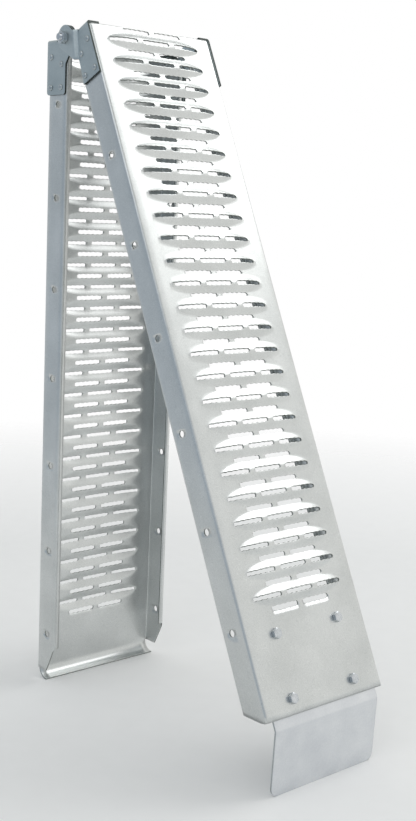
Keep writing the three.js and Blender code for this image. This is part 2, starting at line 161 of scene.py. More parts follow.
softbox("key_softbox", (2.0, -0.6, 3.0), (0, 0, 0.5), 2.0, 26)
softbox("fill_softbox", (-2.0, -0.6, 3.0), (0, 0.1, 0.5), 2.0, 12)
bpy.context.scene.view_settings.view_transform = "Standard"

# ---- The two pressed halves: each is one 2 mm galvanised sheet, slotted and pressed flat,
# then folded to a channel. Its deck holds 26 boat-shaped ovals, its flanges a row of strap
# holes, and a narrow lip turns in along each free edge.
HINGE = Vector(frame["joints"][0]["pos_m"])
WIDTH = 0.225
SHEET = 0.002
CHANNEL_DEPTH = 0.045
BEND = 0.004
LIP = 0.010
HINGE_DEPTH = 0.0515
UPPER_LEAN = np.radians(25.067)
LOWER_LEAN = np.radians(0.5)
HALF_START = 0.0035
PITCH = 0.03445
OVALS = 26
OVAL_REACH = 0.0855
OVAL_STRAIGHT = 0.040
OVAL_HALF = 0.0141
OVAL_RISE = 0.005
FLANK = 0.0118
SLOT_HALF_LENGTH = 0.0245
SLOT_HALF_WIDTH = 0.00325
SLOT_STEP = 0.0587
SLOT_WAVE = 0.0004
WAVE_LENGTH = 0.0092
HOLE_RADIUS = 0.005
HOLE_DEPTH = 0.0245
HOLES = 7
COLUMN_STEP = 0.0031


def stand(across, along, depth, lean, side):
    """Places points of a half in the row frame. Depth is first taken from the hinge axis; the
    half is turned about that axis by its lean, and side -1 is the half turned round."""
    deep = depth - HINGE_DEPTH
    y = HINGE.y + side * (deep * np.cos(lean) - along * np.sin(lean))
    z = HINGE.z - deep * np.sin(lean) - along * np.cos(lean)
    return np.stack(np.broadcast_arrays(side * across, y, z), -1)


def mesh_piece(name, points, faces, material):
    """Makes an object at the origin from an array of points and an array of faces."""
    mesh = bpy.data.meshes.new(name)
    mesh.from_pydata(points.reshape(-1, 3).tolist(), [], faces.tolist())
    mesh.materials.append(material)
    mesh.shade_smooth()
    piece = bpy.data.objects.new(name, mesh)
    bpy.context.scene.collection.objects.link(piece)
    return piece


def oval_half_width(across):
    """Half the width of an oval: even in the middle, and closing to each tip as
    (1 - v^2)^0.6, where v is the share of the way from the straight part to the tip."""
    v = np.clip((np.abs(across) - OVAL_STRAIGHT) / (OVAL_REACH - OVAL_STRAIGHT), 0, 1)
    return OVAL_HALF * (1 - v ** 2) ** 0.6


def rise(across, along, first):
    """Height of the pressed sheet: it climbs from each oval's rim towards its centre line on
    an S-curve, x - 0.3 sin(2 pi x) / (2 pi), where x is the way in from the rim over FLANK."""
    nearest = np.clip(np.round((along - first) / PITCH), 0, OVALS - 1)
    off = np.abs(along - first - nearest * PITCH)
    x = np.clip((oval_half_width(across) - off) / FLANK, 0, 1)
    return OVAL_RISE * (x - 0.3 * np.sin(2 * np.pi * x) / (2 * np.pi))


def slot_half_width(across, places, edge):
    """Half the opening of a row of slots: a super-ellipse of power 6 on each slot, with a
    shallow wave along its edge, left by the punch; edge is -1 or 1 for the two sides."""
    centres = np.array(places) * SLOT_STEP
    v = (across[:, None] - centres) / SLOT_HALF_LENGTH
    open_share = np.clip(1 - np.abs(v) ** 6, 0, None).max(1) ** (1 / 6)
    wave = SLOT_WAVE * np.sin(2 * np.pi * across / WAVE_LENGTH + edge)
    return open_share * (SLOT_HALF_WIDTH + wave * open_share)


def tread_columns():
    """Places across one side of the tread: close together at each slot's end, 3 mm elsewhere."""
    ridge_ends = [SLOT_HALF_LENGTH, SLOT_STEP - SLOT_HALF_LENGTH, SLOT_STEP + SLOT_HALF_LENGTH]
    valley_ends = [SLOT_STEP / 2 - SLOT_HALF_LENGTH, SLOT_STEP / 2 + SLOT_HALF_LENGTH]
    inward = {ridge_ends[0]: -1, ridge_ends[1]: 1, ridge_ends[2]: -1, valley_ends[0]: 1, valley_ends[1]: -1}
    fixed = {0.0, OVAL_REACH}
    for end, way in inward.items():
        fixed |= {round(end + way * step, 6) for step in (0, 0.0004, 0.0013, 0.0028)}
    knots = sorted(fixed)
    spans = [
        np.linspace(a, b, max(1, round((b - a) / COLUMN_STEP)), endpoint=False)
        for a, b in zip(knots, knots[1:])
    ]
    return np.concatenate([*spans, [OVAL_REACH]])


def quarter(steps):
    """Angles that split a quarter turn into even steps, the first left out."""
    return np.linspace(0, np.pi / 2, steps + 1)[1:]


def side_columns():
    """The sheet's section outside the tread, as places (across, depth): flat deck, bend,
    flange, bend and lip. The flange's two middle columns open round its holes."""
    half = WIDTH / 2
    turn = quarter(4)
    low = CHANNEL_DEPTH - BEND
    deck = [(0.088, 0), (0.097, 0), (half - BEND, 0)]
    top = np.stack([half - BEND + BEND * np.sin(turn), BEND - BEND * np.cos(turn)], 1)
    flange = [(half, d) for d in (0.013, HOLE_DEPTH, HOLE_DEPTH, 0.036, low)]
    bottom = np.stack([half - BEND + BEND * np.cos(turn), low + BEND * np.sin(turn)], 1)
    return np.concatenate([deck, top, flange, bottom, [(half - LIP, CHANNEL_DEPTH)]])


FLANK_SHARES = np.array([0, 0.10, 0.30, 0.55, 0.80, 1.0])
HALF_PITCH_CELLS = 7


def half_pitch_rows(across, ridge_slot, valley_slot):
    """Distances from an oval's centre line to the next valley's, one column each: five cells
    from the ridge slot's edge to the rim and two more to the valley slot's edge."""
    start = ridge_slot
    stop = PITCH / 2 - valley_slot
    rim = np.clip(oval_half_width(across), start + 0.0010, stop - 0.0004)
    flank = start + (rim - start) * FLANK_SHARES[:, None]
    valley = rim + (stop - rim) * np.array([0.5, 1.0])[:, None]
    return np.concatenate([flank, valley])


def pressed_half(first, end, first_hole, end_along, foot):
    """One half's outer face as a grid: rows along it, columns across it. Each line of slots is
    a double row that parts where a slot is, and each flange's middle is a double column that
    parts round the holes, so every opening's outline lies on the grid's own lines."""
    tread = tread_columns()
    tread = np.concatenate([-tread[:0:-1], tread])
    side = side_columns()
    across = np.concatenate([-side[::-1, 0], tread, side[:, 0]])
    depth = np.concatenate([side[::-1, 1], 0 * tread, side[:, 1]])
    inner = int(np.argmax(side[:, 1] == HOLE_DEPTH))
    inner_left = len(side) - 1 - inner
    inner_right = len(across) - len(side) + inner
    inside = np.abs(across) <= OVAL_REACH

    # The lines of slots: even ones on ridges, odd ones in valleys.
    lines = [k for k in range(-1, 2 * OVALS) if first + k * PITCH / 2 - SLOT_HALF_WIDTH > HALF_START]
    ridge = {edge: slot_half_width(across, (-1, 0, 1), edge) for edge in (-1, 1)}
    valley = {edge: slot_half_width(across, (-0.5, 0.5), edge) for edge in (-1, 1)}
    opening = {k: (ridge if k % 2 == 0 else valley) for k in lines}
    centre = {k: first + k * PITCH / 2 for k in lines}

    start_rows = np.linspace(0, 1, 4)[:, None]
    k = lines[0]
    rows = [HALF_START + (centre[k] - opening[k][-1] - HALF_START) * start_rows]
    evenly = [np.linspace(HALF_START, centre[k], 4)]
    pairs = [3]
    for k, following in zip(lines, lines[1:]):
        if k % 2 == 0:
            step = half_pitch_rows(across, opening[k][1], opening[following][-1])
        else:
            step = PITCH / 2 - half_pitch_rows(across, opening[following][-1], opening[k][1])[::-1]
        rows.append(centre[k] + step)
        evenly.append(np.linspace(centre[k], centre[following], HALF_PITCH_CELLS + 1))
        pairs.append(pairs[-1] + HALF_PITCH_CELLS + 1)
    k = lines[-1]
    plain = np.linspace(0, 1, 19)[:, None]
    rows.append(centre[k] + opening[k][1] + (end - centre[k] - opening[k][1]) * plain)
    evenly.append(np.linspace(centre[k], end, 19))
    along = np.concatenate(rows)
    evenly = np.concatenate(evenly)

    # Outside the tread the rows run straight, drawn in round each hole, to the cut ends.
    count = len(along)
    unique = np.arange(count) - np.searchsorted(pairs, np.arange(count))
    level = np.interp(np.arange(unique[-1] + 1), unique, evenly)
    holes = first_hole + np.arange(HOLES) * 4 * PITCH
    turn = np.sin(np.linspace(-np.pi / 2, np.pi / 2, 9))
    marks = np.concatenate([np.argmin(np.abs(level - c)) + np.arange(-4, 5) for c in holes])
    places = np.concatenate([c + HOLE_RADIUS * turn for c in holes])
    begin = np.maximum(HALF_START, depth - 0.025)
    finish = end_along(depth)
    straight = np.stack([
        np.interp(unique, [0, *marks, unique[-1]], [a, *places, b]) for a, b in zip(begin, finish)
    ], 1)
    share = np.clip((np.abs(across) - OVAL_REACH) / 0.010, 0, 1)
    even = np.where(share > 0, evenly[:, None] * (1 - share) + straight * share, along)
    along = np.where(inside, along, even)

    # The openings in the flanges.
    flange_row = straight[:, inner_right]
    nearest = holes[np.argmin(np.abs(flange_row[:, None] - holes), 1)]
    gap = np.sqrt(np.clip(HOLE_RADIUS ** 2 - (flange_row - nearest) ** 2, 0, None))
    gap = np.where(gap < 1e-5, 0, gap)
    depth = np.tile(depth, (count, 1))
    for inner_edge, outer_edge in ((inner_left, inner_left - 1), (inner_right, inner_right + 1)):
        depth[:, inner_edge] -= gap
        depth[:, outer_edge] += gap
    depth -= np.where(inside, rise(across, along, first), 0)
    wide = np.tile(across, (count, 1))

    if foot:
        turn = quarter(8)
        curl_along = np.concatenate([end + foot * np.sin(turn), [end + foot]])
        curl_depth = np.concatenate([foot - foot * np.cos(turn), [foot + SHEET]])
        columns = len(across)
        along = np.concatenate([along, np.tile(curl_along[:, None], columns)])
        depth = np.concatenate([depth, np.tile(curl_depth[:, None], columns)])
        wide = np.concatenate([wide, np.tile(across, (len(curl_along), 1))])

    # Double rows and columns are welded wherever nothing opens.
    total, columns = along.shape
    index = np.arange(total * columns).reshape(total, columns)
    for k, row in zip(lines, pairs):
        shut = (opening[k][-1] < 1e-6) | ~inside
        index[row + 1, shut] = index[row, shut]
    for inner_edge, outer_edge in ((inner_left, inner_left - 1), (inner_right, inner_right + 1)):
        shut = np.zeros(total, bool)
        shut[:count] = gap == 0
        index[shut, outer_edge] = index[shut, inner_edge]
    cell = np.ones((total - 1, columns - 1), bool)
    cell[pairs, :] = False
    cell[:, inner_left - 1] = False
    cell[:, inner_right] = False
    cell[count - 1:, :] &= ((depth[0, :-1] <= 0) & (depth[0, 1:] <= 0))[None]
    quads = np.stack([index[:-1, :-1], index[1:, :-1], index[1:, 1:], index[:-1, 1:]], -1)[cell]
    used, faces = np.unique(quads, return_inverse=True)
    flat = [values.reshape(-1)[used] for values in (wide, along, depth)]
    return flat, faces.reshape(-1, 4)


def galvanised_sheet(name, tint):
    """Hot-dip galvanised sheet: a thin, bright zinc skin whose crystals, the spangle, are
    rolled down to a fine mottle. The cells of a 12 mm pattern are bent by a squared noise
    until they break up. Each part is a little lighter or darker, and a little sharper or
    softer in its shine, over cloudy bands about 70 mm across from the rolling."""
    material, tree, shader = new_material(name)
    place = add_node(tree, "ShaderNodeTexCoord").outputs["Object"]
    warp = add_node(tree, "ShaderNodeTexNoise", {0: place}, in_2=60.0, in_3=2.0).outputs["Color"]
    bent = add_node(tree, "ShaderNodeVectorMath", {0: warp, 1: warp, 2: place}, operation="MULTIPLY_ADD")
    flakes = add_node(tree, "ShaderNodeTexVoronoi", {0: bent.outputs[0]}, in_2=85.0)
    tone = add_node(tree, "ShaderNodeSeparateColor", {0: flakes.outputs["Color"]})
    clouds = add_node(tree, "ShaderNodeTexNoise", {0: place}, in_2=14.0, in_3=3.0)
    both = add_node(tree, "ShaderNodeMix", {2: tone.outputs[0], 3: clouds.outputs["Fac"]}, in_0=0.6)
    ramp = add_node(tree, "ShaderNodeValToRGB", {0: both.outputs[0]})
    ramp.color_ramp.elements[0].position = 0.25
    ramp.color_ramp.elements[0].color = srgb(tint[0])
    ramp.color_ramp.elements[1].position = 0.8
    ramp.color_ramp.elements[1].color = srgb(tint[1])
    tree.links.new(ramp.outputs["Color"], shader.inputs["Base Color"])
    gloss = add_node(tree, "ShaderNodeMapRange", {0: both.outputs[0]}, in_3=0.27, in_4=0.40)
    tree.links.new(gloss.outputs[0], shader.inputs["Roughness"])
    grain = add_node(tree, "ShaderNodeTexNoise", {0: place}, in_2=900.0, in_3=2.0)
    bump = add_node(tree, "ShaderNodeBump", {"Height": grain.outputs["Fac"]})
    bump.inputs["Strength"].default_value = 0.05
    bump.inputs["Distance"].default_value = 0.0004
    tree.links.new(bump.outputs[0], shader.inputs["Normal"])
    shader.inputs["Metallic"].default_value = 1.0
    return material


def sheared_edge():
    """The sheet's cut edge: a bright sheared band over a duller torn one, drawn as a fine
    mottle about 1 mm across, darker and rougher than the zinc skin."""
    material, tree, shader = new_material("sheared_edge_zinc")
    place = add_node(tree, "ShaderNodeTexCoord").outputs["Object"]
    tear = add_node(tree, "ShaderNodeTexNoise", {0: place}, in_2=700.0, in_3=3.0)
    ramp = add_node(tree, "ShaderNodeValToRGB", {0: tear.outputs["Fac"]})
    ramp.color_ramp.elements[0].position = 0.35
    ramp.color_ramp.elements[0].color = srgb("6E7470")
    ramp.color_ramp.elements[1].position = 0.7
    ramp.color_ramp.elements[1].color = srgb("B4B8B5")
    tree.links.new(ramp.outputs["Color"], shader.inputs["Base Color"])
    shader.inputs["Metallic"].default_value = 0.9
    shader.inputs["Roughness"].default_value = 0.5
    return material


GALVANISED = galvanised_sheet("hot_dip_galvanised_sheet", ("C3C6C5", "E4E6E5"))
SHEARED = sheared_edge()


def thicken(piece, thickness, edge):
    """Gives a sheet its thickness inwards from its drawn face, with its cut edges in a material of their own.
    """
    piece.data.materials.append(edge)
    wall = piece.modifiers.new("thickness", "SOLIDIFY")
    wall.thickness = thickness
    wall.offset = -1
    wall.use_even_offset = True
    wall.thickness_clamp = 0
    wall.material_offset_rim = 1
    wall.use_rim = True


UPPER_LENGTH = 1.010
UPPER_FIRST_OVAL = -0.0091
UPPER_FIRST_HOLE = 0.061
UPPER_CUT_BACK = 0.019
LOWER_LENGTH = 0.982
LOWER_FIRST_OVAL = 0.0234
LOWER_FIRST_HOLE = 0.0935
LOWER_CUT_BACK = 0.044
FOOT_CURL = 0.018


def upper_end(depth):
    """The upper flanges are cut on a slant at the tongue's end."""
    return UPPER_LENGTH - UPPER_CUT_BACK * np.clip((depth - 0.008) / 0.042, 0, 1)


def lower_end(depth):
    """The lower flanges are cut back at 45 degrees or so near the foot."""
    return LOWER_LENGTH - LOWER_CUT_BACK * np.clip((depth - 0.025) / 0.021, 0, 1)


(wide, far, deep), quads = pressed_half(
    UPPER_FIRST_OVAL, UPPER_LENGTH, UPPER_FIRST_HOLE, upper_end, 0,
)
upper_sheet = mesh_piece("upper_sheet", stand(wide, far, deep, UPPER_LEAN, 1), quads, GALVANISED)
thicken(upper_sheet, SHEET, SHEARED)
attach(upper_sheet, "upper_half")
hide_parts("upper_section")

(wide, far, deep), quads = pressed_half(
    LOWER_FIRST_OVAL, LOWER_LENGTH, LOWER_FIRST_HOLE, lower_end, FOOT_CURL,
)
lower_sheet = mesh_piece("lower_sheet", stand(wide, far, deep, LOWER_LEAN, -1), quads, GALVANISED)
thicken(lower_sheet, SHEET, SHEARED)
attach(lower_sheet, "lower_half")
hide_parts("lower_section")

# ---- The tongue: 3 mm zinc-plated plate, bolted flat under the upper deck's end and bent
# down 27.5 degrees, so that it hooks over a tailgate. Its two free corners are rounded.
PLATE = 0.003
TONGUE_HALF = 0.099
TONGUE_START = 0.880
TONGUE_BEND = 1.024
TONGUE_REACH = 0.093
TONGUE_ANGLE = np.radians(27.5)
TONGUE_DEPTH = 0.0023
TONGUE_CORNER = 0.012
TONGUE_TURN = 0.007


def plated_steel(name, dark, light, gloss, patch=22.0, mottle=0.0):
    """Zinc-plated plate: an even, satin crystal skin. Cloudy patches about 45 mm across are a
    little lighter or darker, and a fine grain under 1 mm breaks up what the skin mirrors."""
    material, tree, shader = new_material(name)
    place = add_node(tree, "ShaderNodeTexCoord").outputs["Object"]
    clouds = add_node(tree, "ShaderNodeTexNoise", {0: place}, in_2=patch, in_3=4.0)
    speck = add_node(tree, "ShaderNodeTexNoise", {0: place}, in_2=420.0, in_3=2.0)
    both = add_node(
        tree, "ShaderNodeMix", {2: clouds.outputs["Fac"], 3: speck.outputs["Fac"]}, in_0=0.3 + mottle,
    )
    ramp = add_node(tree, "ShaderNodeValToRGB", {0: both.outputs[0]})
    ramp.color_ramp.elements[0].position = 0.3
    ramp.color_ramp.elements[0].color = srgb(dark)
    ramp.color_ramp.elements[1].position = 0.7
    ramp.color_ramp.elements[1].color = srgb(light)
    tree.links.new(ramp.outputs["Color"], shader.inputs["Base Color"])
    shine = add_node(tree, "ShaderNodeMapRange", {0: both.outputs[0]}, in_3=gloss - 0.05, in_4=gloss + 0.07)
    tree.links.new(shine.outputs[0], shader.inputs["Roughness"])
    bump = add_node(tree, "ShaderNodeBump", {"Height": speck.outputs["Fac"]})
    bump.inputs["Strength"].default_value = 0.12
    bump.inputs["Distance"].default_value = 0.0003
    tree.links.new(bump.outputs[0], shader.inputs["Normal"])
    shader.inputs["Metallic"].default_value = 1.0
    return material


def grid_faces(rows, columns):
    """Quads of a grid of points that are numbered row by row."""
    index = np.arange(rows * columns).reshape(rows, columns)
    return np.stack([index[:-1, :-1], index[1:, :-1], index[1:, 1:], index[:-1, 1:]], -1).reshape(-1, 4)


EDGE_ROUND = 0.0004
EDGE_ANGLE = np.radians(40)


def soften(piece):
    """Breaks the sharp edges with a small round."""
    round_over = piece.modifiers.new("edges", "BEVEL")
    round_over.width = EDGE_ROUND
    round_over.segments = 2
    round_over.limit_method = "ANGLE"
    round_over.angle_limit = EDGE_ANGLE
    piece.data.set_sharp_from_angle(angle=EDGE_ANGLE)


def tongue():
    """A strip bent about a line: rows run straight, then round an arc of radius TONGUE_TURN,
    then straight on; each row's half width shrinks on a quarter circle near the free end."""
    reach = TONGUE_TURN * np.tan(TONGUE_ANGLE / 2)
    turn = np.linspace(0, TONGUE_ANGLE, 9)
    arc_along = TONGUE_BEND - reach + TONGUE_TURN * np.sin(turn)
    arc_depth = TONGUE_DEPTH + TONGUE_TURN * (1 - np.cos(turn))
    corner = TONGUE_CORNER * (1 - np.cos(np.linspace(0, np.pi / 2, 9)))[::-1]
    out = np.concatenate([np.linspace(reach, TONGUE_REACH - TONGUE_CORNER, 8)[1:], TONGUE_REACH - corner[1:]])
    plain = np.linspace(TONGUE_START, arc_along[0], 12)[:-1]
    along = np.concatenate([plain, arc_along, TONGUE_BEND + out * np.cos(TONGUE_ANGLE)])
    depth = np.concatenate([0 * plain + TONGUE_DEPTH, arc_depth, TONGUE_DEPTH + out * np.sin(TONGUE_ANGLE)])
    into = np.clip(out - TONGUE_REACH + TONGUE_CORNER, 0, None)
    narrow = TONGUE_HALF - TONGUE_CORNER + np.sqrt(np.clip(TONGUE_CORNER ** 2 - into ** 2, 0, None))
    half = np.concatenate([0 * plain + TONGUE_HALF, 0 * arc_along + TONGUE_HALF, narrow])
    across = half[:, None] * np.linspace(-1, 1, 21)
    points = stand(across, along[:, None], depth[:, None], UPPER_LEAN, 1)
    return points, grid_faces(*across.shape)


TONGUE_ZINC = plated_steel("satin_zinc_plate", "D3D6DA", "E6E8EA", 0.42)
TONGUE_EDGE = plated_steel("satin_zinc_plate_edge", "A9AEB1", "C9CCCE", 0.5)
tongue_sheet = mesh_piece("bent_tongue", *tongue(), TONGUE_ZINC)
thicken(tongue_sheet, PLATE, TONGUE_EDGE)
soften(tongue_sheet)
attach(tongue_sheet, "upper_half")
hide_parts("tongue_plate")

# ---- Hinge brackets: blanked from 3 mm plate, zinc-plated, with a tab folded over the
# channel's end. The upper pair's ears are joggled outwards, so that they lap the lower ears.
PLATE_OUT = WIDTH / 2 + 0.0003 + PLATE
BRACKET_END = 0.080
TAB_PLACE = 0.0002
TAB_TURN = 0.0042
TAB_DEPTH = 0.024
TAB_IN = WIDTH / 2 - 0.018
EAR_RADIUS = 0.018
JOGGLE = 0.0051
JOGGLE_RUN = 0.005
JOGGLE_FROM = np.array([0.001, 0.0255])
JOGGLE_TO = np.array([0.0415, 0.038])
RUNGS = 11


def ear_side(start, turn, tip):
    """Points from the ear's tip round its circle to where a line from `start` touches it."""
    off = start - np.array([0, HINGE_DEPTH])
    towards = np.arctan2(off[1], off[0])
    touch = towards + turn * np.arccos(EAR_RADIUS / np.hypot(*off))
    sweep = np.linspace(tip, tip + (touch - tip + np.pi) % (2 * np.pi) - np.pi, 13)
    return np.stack([EAR_RADIUS * np.cos(sweep), HINGE_DEPTH + EAR_RADIUS * np.sin(sweep)], 1)


def between(a, b, steps):
    """Points on a straight line from a to b, the first left out."""
    return np.array(a) + (np.array(b) - a) * np.linspace(0, 1, steps + 1)[1:, None]


def rounded(centre, radius, first, last, steps=5):
    """Points on an arc about a centre, from the first angle to the last, in degrees."""
    sweep = np.radians(np.linspace(first, last, steps))
    return np.array(centre) + radius * np.stack([np.cos(sweep), np.sin(sweep)], 1)


def bracket_plate(edge_a, edge_b, out):
    """A plate ruled between two edges of as many points: rungs cross from one to the other,
    and `out` gives how far each place stands out. A tab turns in from edge_a's end stretch."""
    share = np.linspace(0, 1, RUNGS)[:, None]
    flat = edge_a[:, None] * (1 - share) + edge_b[:, None] * share
    points = np.concatenate([out(flat)[..., None], flat], 2)
    faces = grid_faces(*flat.shape[:2])

    turn = np.linspace(0, np.pi / 2, 6)
    across = np.append(PLATE_OUT - TAB_TURN + TAB_TURN * np.cos(turn), TAB_IN)
    along = np.append(TAB_PLACE + TAB_TURN - TAB_TURN * np.sin(turn), TAB_PLACE)
    deep = np.linspace(TAB_DEPTH, 0, 7)
    tab = np.stack(np.broadcast_arrays(across[None], along[None], deep[:, None]), -1)
    tab_faces = grid_faces(*tab.shape[:2])[:, ::-1] + flat.shape[0] * flat.shape[1]
    both = np.concatenate([points.reshape(-1, 3), tab.reshape(-1, 3)])
    return both, np.concatenate([faces, tab_faces])


def upper_outline():
    """The upper bracket's two edges, from the ear's tip to the far end, and its joggle: over
    JOGGLE_RUN the plate climbs outwards as c^2 (3 - 2c), where c is the share of the run."""
    run = (JOGGLE_TO - JOGGLE_FROM) / np.hypot(*(JOGGLE_TO - JOGGLE_FROM))
    up = np.array([-run[1], run[0]])
    above_a, above_b = JOGGLE_FROM + 0.0062 * up, JOGGLE_TO + 0.0062 * up
    tip = np.arctan2(up[1], up[0])
    fold = [(TAB_PLACE + TAB_TURN, TAB_DEPTH), (TAB_PLACE + TAB_TURN, 0)]
    below = JOGGLE_FROM - 0.001 * up
    edge_a = np.concatenate([
        ear_side(above_a, -1, tip), between(ear_side(above_a, -1, tip)[-1], above_a, 2),
        between(above_a, JOGGLE_FROM, 5), between(JOGGLE_FROM, below, 1), between(below, fold[0], 1),
        between(fold[0], fold[1], 6), between(fold[1], (BRACKET_END, 0), 10),
    ])
    edge_b = np.concatenate([
        ear_side(above_b, 1, tip), between(ear_side(above_b, 1, tip)[-1], above_b, 2),
        between(above_b, JOGGLE_TO, 5), between(JOGGLE_TO, (0.0466, 0.0385), 1),
        between((0.0466, 0.0385), (0.0537, 0.0393), 1), between((0.0537, 0.0393), (0.062, 0.0401), 6),
        between((0.062, 0.0401), (BRACKET_END, 0.042), 10),
    ])

    def out(flat):
        climb = np.clip(((flat - JOGGLE_FROM) @ up + 0.0008) / (JOGGLE_RUN + 0.0008), 0, 1)
        return PLATE_OUT + JOGGLE * climb * climb * (3 - 2 * climb)
    return edge_a, edge_b, out


def lower_outline():
    """The lower bracket's two edges, from the ear's tip to the far end; the plate is flat."""
    corner = 0.005
    deep = CHANNEL_DEPTH + SHEET
    shoulder, foot = np.array([0.0012, 0.030]), np.array([0.036, deep])
    tip = np.radians(145)
    fold = [(TAB_PLACE + TAB_TURN, TAB_DEPTH), (TAB_PLACE + TAB_TURN, 0)]
    end = BRACKET_END - corner
    side_a, side_b = ear_side(shoulder, -1, tip), ear_side(foot, 1, tip)
    edge_a = np.concatenate([
        side_a, between(side_a[-1], shoulder, 4), between(shoulder, fold[0], 1),
        between(fold[0], fold[1], 6), between(fold[1], (end, 0), 8), rounded((end, corner), corner, -90, 0)[1:],
    ])
    edge_b = np.concatenate([
        side_b, between(side_b[-1], foot, 4), between(foot, foot + [0.002, 0], 1),
        between(foot + [0.002, 0], foot + [0.012, 0], 6), between(foot + [0.012, 0], (end, deep), 8),
        rounded((end, deep - corner), corner, 90, 0)[1:],
    ])
    return edge_a, edge_b, lambda flat: np.full(flat.shape[:-1], PLATE_OUT)


BRACKET_ZINC = plated_steel("satin_zinc_bracket", "AEB8BA", "C6CECF", 0.40)
# The brackets' cut edges are painted near-black: a duller cut finish, darkened further with painted shade for
# the thin edge that lies in shadow.
BRACKET_EDGE_SHADE = plated_steel("shaded_bracket_edge", "2E3331", "565C59", 0.5, mottle=0.3)


def bracket(name, outline, lean, side, hand, body, node):
    """Puts a bracket on one side of a half: hand 1 keeps it as drawn, -1 mirrors it."""
    points, faces = bracket_plate(*outline)
    placed = stand(hand * points[:, 0], points[:, 1], points[:, 2], lean, side)
    piece = mesh_piece(name, placed, faces[:, ::hand], BRACKET_ZINC)
    merge = piece.modifiers.new("weld", "WELD")
    merge.merge_threshold = 0.00001
    thicken(piece, PLATE, BRACKET_EDGE_SHADE)
    soften(piece)
    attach(piece, body)
    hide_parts(node)


# The lower half stands turned round, so its right-hand side as drawn is the ramp's left.
HALVES = {
    "upper": (UPPER_LEAN, 1, {"right": 1, "left": -1}),
    "lower": (LOWER_LEAN, -1, {"left": 1, "right": -1}),
}
for half, (lean, side, hands) in HALVES.items():
    outline = upper_outline() if half == "upper" else lower_outline()
    for word, hand in hands.items():
        bracket(
            f"{half}_hinge_plate_{word}", outline, lean, side, hand,
            f"{half}_half", f"{half}_bracket_{word}",
        )

# ---- Rivets: steel, zinc-plated, four to a bracket. Each has a domed factory head outside
# and a flatter set head inside the flange.
UPPER_RIVETS = [(0.025, 0.009), (0.0375, 0.0305), (0.070, 0.009), (0.070, 0.034)]
LOWER_RIVETS = [(0.025, 0.010), (0.036, 0.036), (0.069, 0.010), (0.069, 0.036)]
RIVET_SHANK = 0.003
RIVET_HEAD = 0.0045
RIVET_DOME = 0.0026
RIVET_TAIL = 0.004
RIVET_SET = 0.0018
ROUND_STEPS = 24
SHARP_ANGLE = np.radians(35)


def turned(radii, heights, closed=False):
    """A turned body: ring k has radii[k] at height heights[k], each a number or an array over
    the turn. A closed profile is a ring with a bore; an open one has a cap at either end."""
    steps = max(np.size(value) for value in [*radii, *heights])
    steps = ROUND_STEPS if steps == 1 else steps
    angle = np.arange(steps) * 2 * np.pi / steps
    radius = np.stack([np.broadcast_to(value, steps) for value in radii])
    height = np.stack([np.broadcast_to(value, steps) for value in heights])
    points = np.stack([radius * np.cos(angle), radius * np.sin(angle), height], -1)
    rows = len(radii)
    index = np.arange(rows * steps).reshape(rows, steps)
    index = np.concatenate([index, index[:, :1]], 1)
    if closed:
        index = np.concatenate([index, index[:1]])
    quads = np.stack([index[:-1, :-1], index[:-1, 1:], index[1:, 1:], index[1:, :-1]], -1).reshape(-1, 4)
    caps = [] if closed else [index[0, -2::-1].tolist(), index[-1, :-1].tolist()]
    return points.reshape(-1, 3), [*quads.tolist(), *caps]


def fastener(name, body_shape, place, along_axis, lean, side, material, ride, node):
    """Stands a turned body at (across, along, depth) of a half, its height laid along the axis
    that is given in the same terms."""
    points, faces = body_shape
    axis = np.array(along_axis, float)
    helper = np.array([0.0, 1, 0]) if abs(axis[1]) < 0.9 else np.array([1.0, 0, 0])
    first = np.cross(helper, axis)
    second = np.cross(axis, first)
    spot = np.array(place) + points[:, :1] * first + points[:, 1:2] * second + points[:, 2:] * axis
    mesh = bpy.data.meshes.new(name)
    mesh.from_pydata(stand(spot[:, 0], spot[:, 1], spot[:, 2], lean, side).tolist(), [], faces)
    mesh.materials.append(material)
    mesh.shade_smooth()
    mesh.set_sharp_from_angle(angle=SHARP_ANGLE)
    piece = bpy.data.objects.new(name, mesh)
    bpy.context.scene.collection.objects.link(piece)
    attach(piece, ride)
    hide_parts(node)


def rivet_shape():
    """Heights are measured out from the plate's outer face."""
    dome = np.linspace(0, np.pi / 2, 7)[:-1]
    inside = PLATE_OUT - WIDTH / 2 + SHEET
    tail = -inside - 0.0003
    radii = [RIVET_TAIL * 0.5, RIVET_TAIL * 0.85, RIVET_TAIL, RIVET_TAIL, RIVET_SHANK, RIVET_SHANK]
    heights = [tail - RIVET_SET, tail - RIVET_SET * 0.9, tail - RIVET_SET * 0.4, tail, tail, 0.0002]
    radii += [*(RIVET_HEAD * np.cos(dome)), RIVET_HEAD * 0.1]
    heights += [*(0.0002 + RIVET_DOME * np.sin(dome)), 0.0002 + RIVET_DOME]
    return turned(radii, heights)


RIVET_ZINC = plated_steel("bright_zinc_rivet", "A8B0B2", "C4CACC", 0.33)
for half, (lean, side, hands) in HALVES.items():
    for number, (along, depth) in enumerate(UPPER_RIVETS if half == "upper" else LOWER_RIVETS, 1):
        for word, hand in hands.items():
            fastener(
                f"domed_{half}_rivet_{number}_{word}", rivet_shape(), (hand * PLATE_OUT, along, depth),
                (hand, 0, 0), lean, side, RIVET_ZINC,
                f"{half}_half", f"{half}_rivet_{number}_{word}",
            )

# ---- Hinge bolts: an M10 hexagon bolt on each side, its head inside the channel, through both
# ears and the washer between them to a nut outside. All bright zinc-plated.
M10 = {
    "radius": 0.005, "flats": 0.016, "head": 0.0064, "nut": 0.008,
    "tail": 0.0035, "washer": 0.010, "thick": 0.0015, "thread": 0.0015,
}
M8 = {
    "radius": 0.004, "flats": 0.013, "head": 0.0053, "nut": 0.0065,
    "tail": 0.0025, "washer": 0.008, "thick": 0.0016, "thread": 0.00125,
}
GAP = 0.0003
TURN_STEPS = 48


